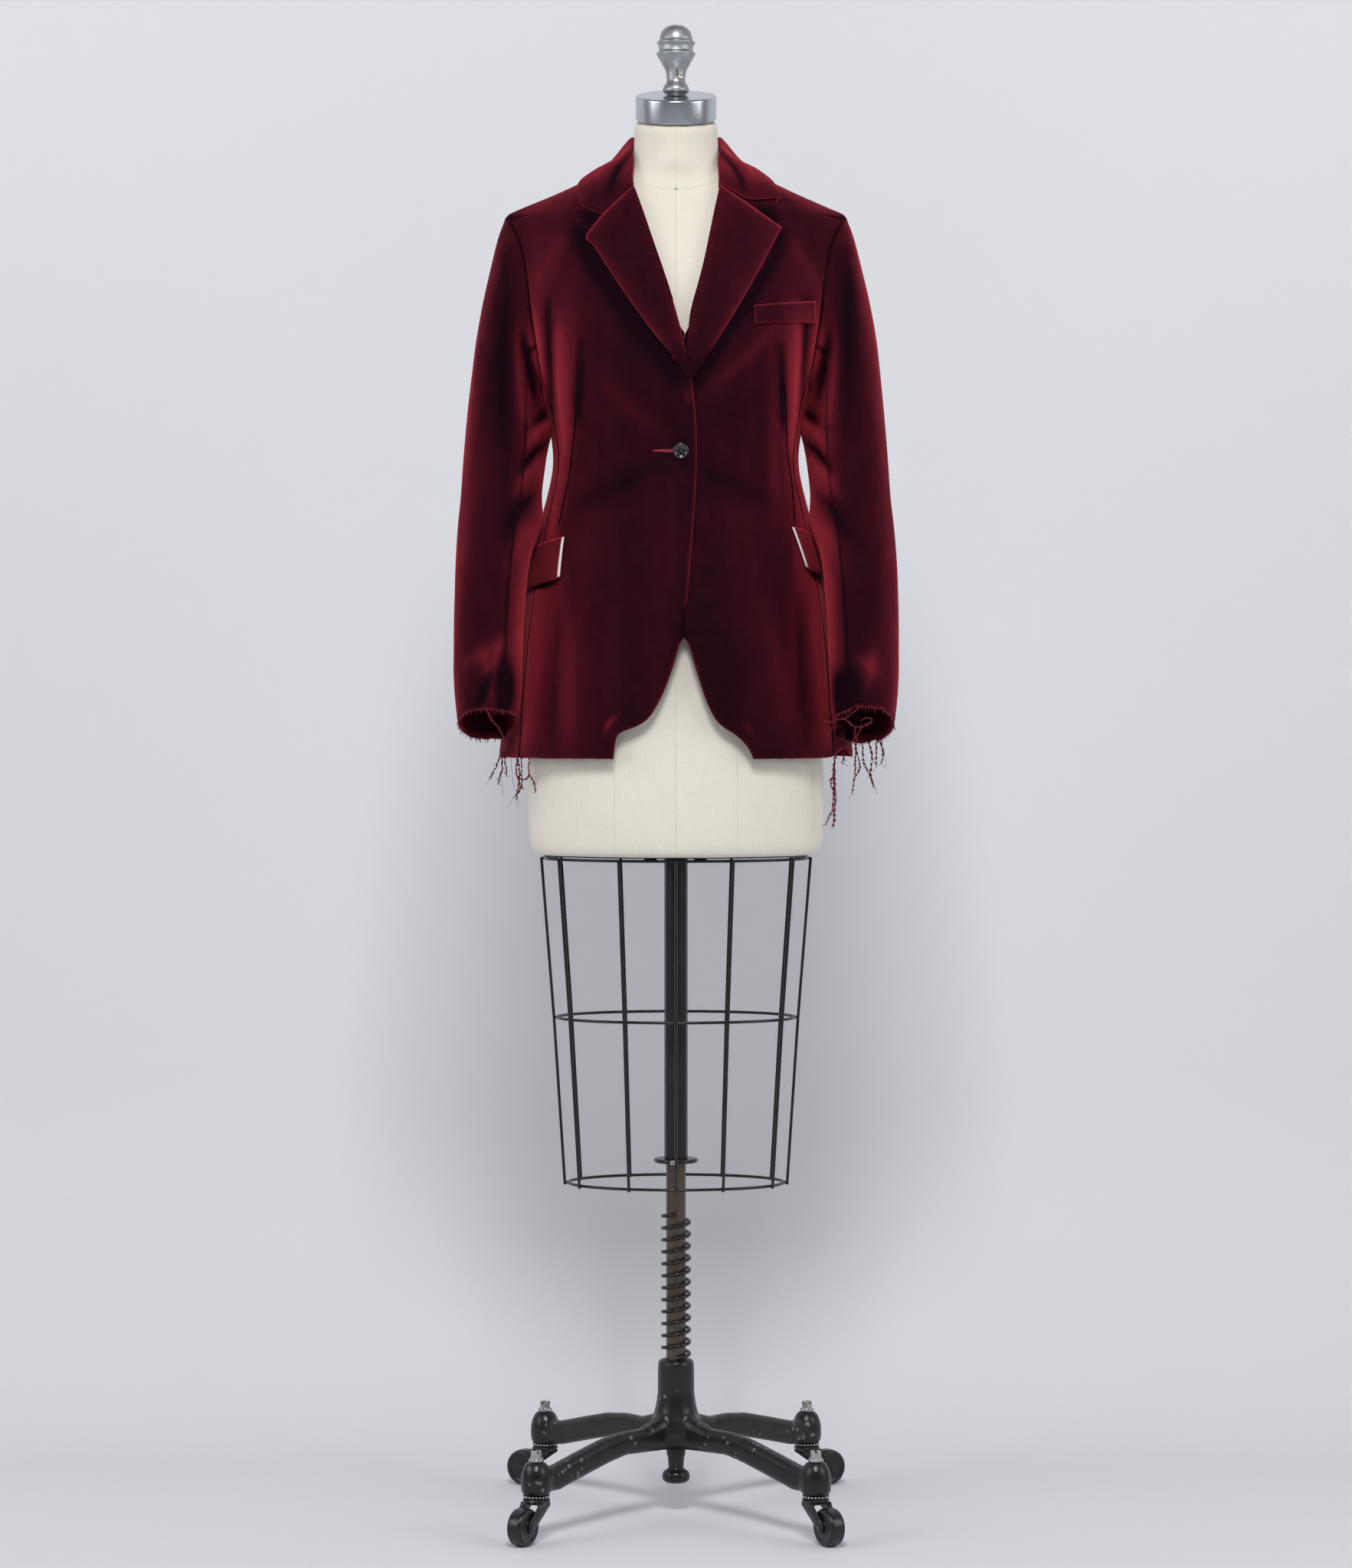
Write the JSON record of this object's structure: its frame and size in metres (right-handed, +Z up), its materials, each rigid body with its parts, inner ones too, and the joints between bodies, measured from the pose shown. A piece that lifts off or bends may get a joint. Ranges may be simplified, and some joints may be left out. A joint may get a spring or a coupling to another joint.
{
  "type": "hacking jacket on dress form",
  "caption": "Single-button velvet hacking jacket with flap pockets and frayed raw cuffs, shown on a limbless dress form with a wire cage skirt and an iron stand on casters.",
  "frame": {"origin": "on the floor, under the middle of the whole object's box; the pole stands 8 mm behind it at most", "axes": "+Z up, the jacket's front faces -Y, +X is the wearer's left"},
  "size_m": [0.526, 0.4234, 1.7747],
  "materials": {
    "velvet": "short cotton velvet, deep wine with a crimson sheen on folds and edges",
    "white_lining": "plain woven lining",
    "canvas": "plain woven cream cotton canvas, sewn in gores",
    "horn_button": "polished dark horn",
    "cap_steel": "polished, with fine scratches",
    "finial_alloy": "turned and tumbled, dull",
    "black_enamel": "black baked enamel",
    "black_iron": "worn gloss enamel on cast iron",
    "aged_steel": "browned drawn steel",
    "chrome": "worn bright plating",
    "caster_rubber": "smooth hard rubber"
  },
  "bodies": {
    "stand": {"stand_casting": "black_iron", "stem_nut_front_right": "chrome", "stem_nut_front_left": "chrome", "stem_nut_rear_right": "chrome", "stem_nut_rear_left": "chrome"},
    "post": {"rod": "aged_steel", "spring": "black_enamel", "rod_foot": "black_iron"},
    "form": {"front_left": "velvet", "front_right": "velvet", "back_left": "velvet", "back_right": "velvet", "side_left": "velvet", "side_right": "velvet", "sleeve_top_left": "velvet", "sleeve_top_right": "velvet", "sleeve_under_left": "velvet", "sleeve_under_right": "velvet", "lapel_left": "velvet", "lapel_right": "velvet", "collar": "velvet", "collar_stand": "velvet", "breast_welt": "velvet", "flap_left": "velvet", "flap_right": "velvet", "flap_lining_left": "white_lining", "flap_lining_right": "white_lining", "button": "horn_button", "fringe_left": "velvet", "fringe_right": "velvet", "form_torso": "canvas", "neck_cap": "cap_steel", "finial": "finial_alloy", "base_plate": "black_enamel", "cage_hoop_top": "black_enamel", "cage_hoop_middle": "black_enamel", "cage_hoop_low": "black_enamel", "cage_wire_01": "black_enamel", "cage_wire_02": "black_enamel", "cage_wire_03": "black_enamel", "cage_wire_04": "black_enamel", "cage_wire_05": "black_enamel", "cage_wire_06": "black_enamel", "cage_wire_07": "black_enamel", "cage_wire_08": "black_enamel", "cage_wire_09": "black_enamel", "cage_wire_10": "black_enamel", "cage_wire_11": "black_enamel", "cage_wire_12": "black_enamel", "mast_tube": "black_enamel", "clamp_ring": "black_enamel", "clamp_screw": "chrome"},
    "swivel_front_right": {"caster_fork_front_right": "black_iron"},
    "swivel_front_left": {"caster_fork_front_left": "black_iron"},
    "swivel_rear_right": {"caster_fork_rear_right": "black_iron"},
    "swivel_rear_left": {"caster_fork_rear_left": "black_iron"},
    "wheel_front_right": {"caster_wheel_front_right": "caster_rubber"},
    "wheel_front_left": {"caster_wheel_front_left": "caster_rubber"},
    "wheel_rear_right": {"caster_wheel_rear_right": "caster_rubber"},
    "wheel_rear_left": {"caster_wheel_rear_left": "caster_rubber"}
  },
  "joints": [
    {"name": "post_swivel", "type": "hinge", "parent": "stand", "child": "post", "pos_m": [0, 0, 0.15], "axis": [0, 0, 1], "continuous": true},
    {"name": "form_height", "type": "slide", "parent": "post", "child": "form", "axis": [0, 0, 1], "range_m": [-0.05, 0.15]},
    {"name": "swivel_front_right", "type": "hinge", "parent": "stand", "child": "swivel_front_right", "pos_m": [-0.162, -0.173, 0.07], "axis": [0, 0, 1], "continuous": true},
    {"name": "swivel_front_left", "type": "hinge", "parent": "stand", "child": "swivel_front_left", "pos_m": [0.162, -0.173, 0.07], "axis": [0, 0, 1], "continuous": true},
    {"name": "swivel_rear_right", "type": "hinge", "parent": "stand", "child": "swivel_rear_right", "pos_m": [-0.162, 0.173, 0.07], "axis": [0, 0, 1], "continuous": true},
    {"name": "swivel_rear_left", "type": "hinge", "parent": "stand", "child": "swivel_rear_left", "pos_m": [0.162, 0.173, 0.07], "axis": [0, 0, 1], "continuous": true},
    {"name": "wheel_front_right", "type": "hinge", "parent": "swivel_front_right", "child": "wheel_front_right", "pos_m": [-0.17667, -0.19801, 0.022], "axis": [0.8625, -0.506, 0], "continuous": true},
    {"name": "wheel_front_left", "type": "hinge", "parent": "swivel_front_left", "child": "wheel_front_left", "pos_m": [0.17667, -0.19801, 0.022], "axis": [0.8625, 0.506, 0], "continuous": true},
    {"name": "wheel_rear_right", "type": "hinge", "parent": "swivel_rear_right", "child": "wheel_rear_right", "pos_m": [-0.18761, 0.18661, 0.022], "axis": [-0.4695, -0.8829, 0], "continuous": true},
    {"name": "wheel_rear_left", "type": "hinge", "parent": "swivel_rear_left", "child": "wheel_rear_left", "pos_m": [0.18761, 0.18661, 0.022], "axis": [-0.4695, 0.8829, 0], "continuous": true}
  ]
}
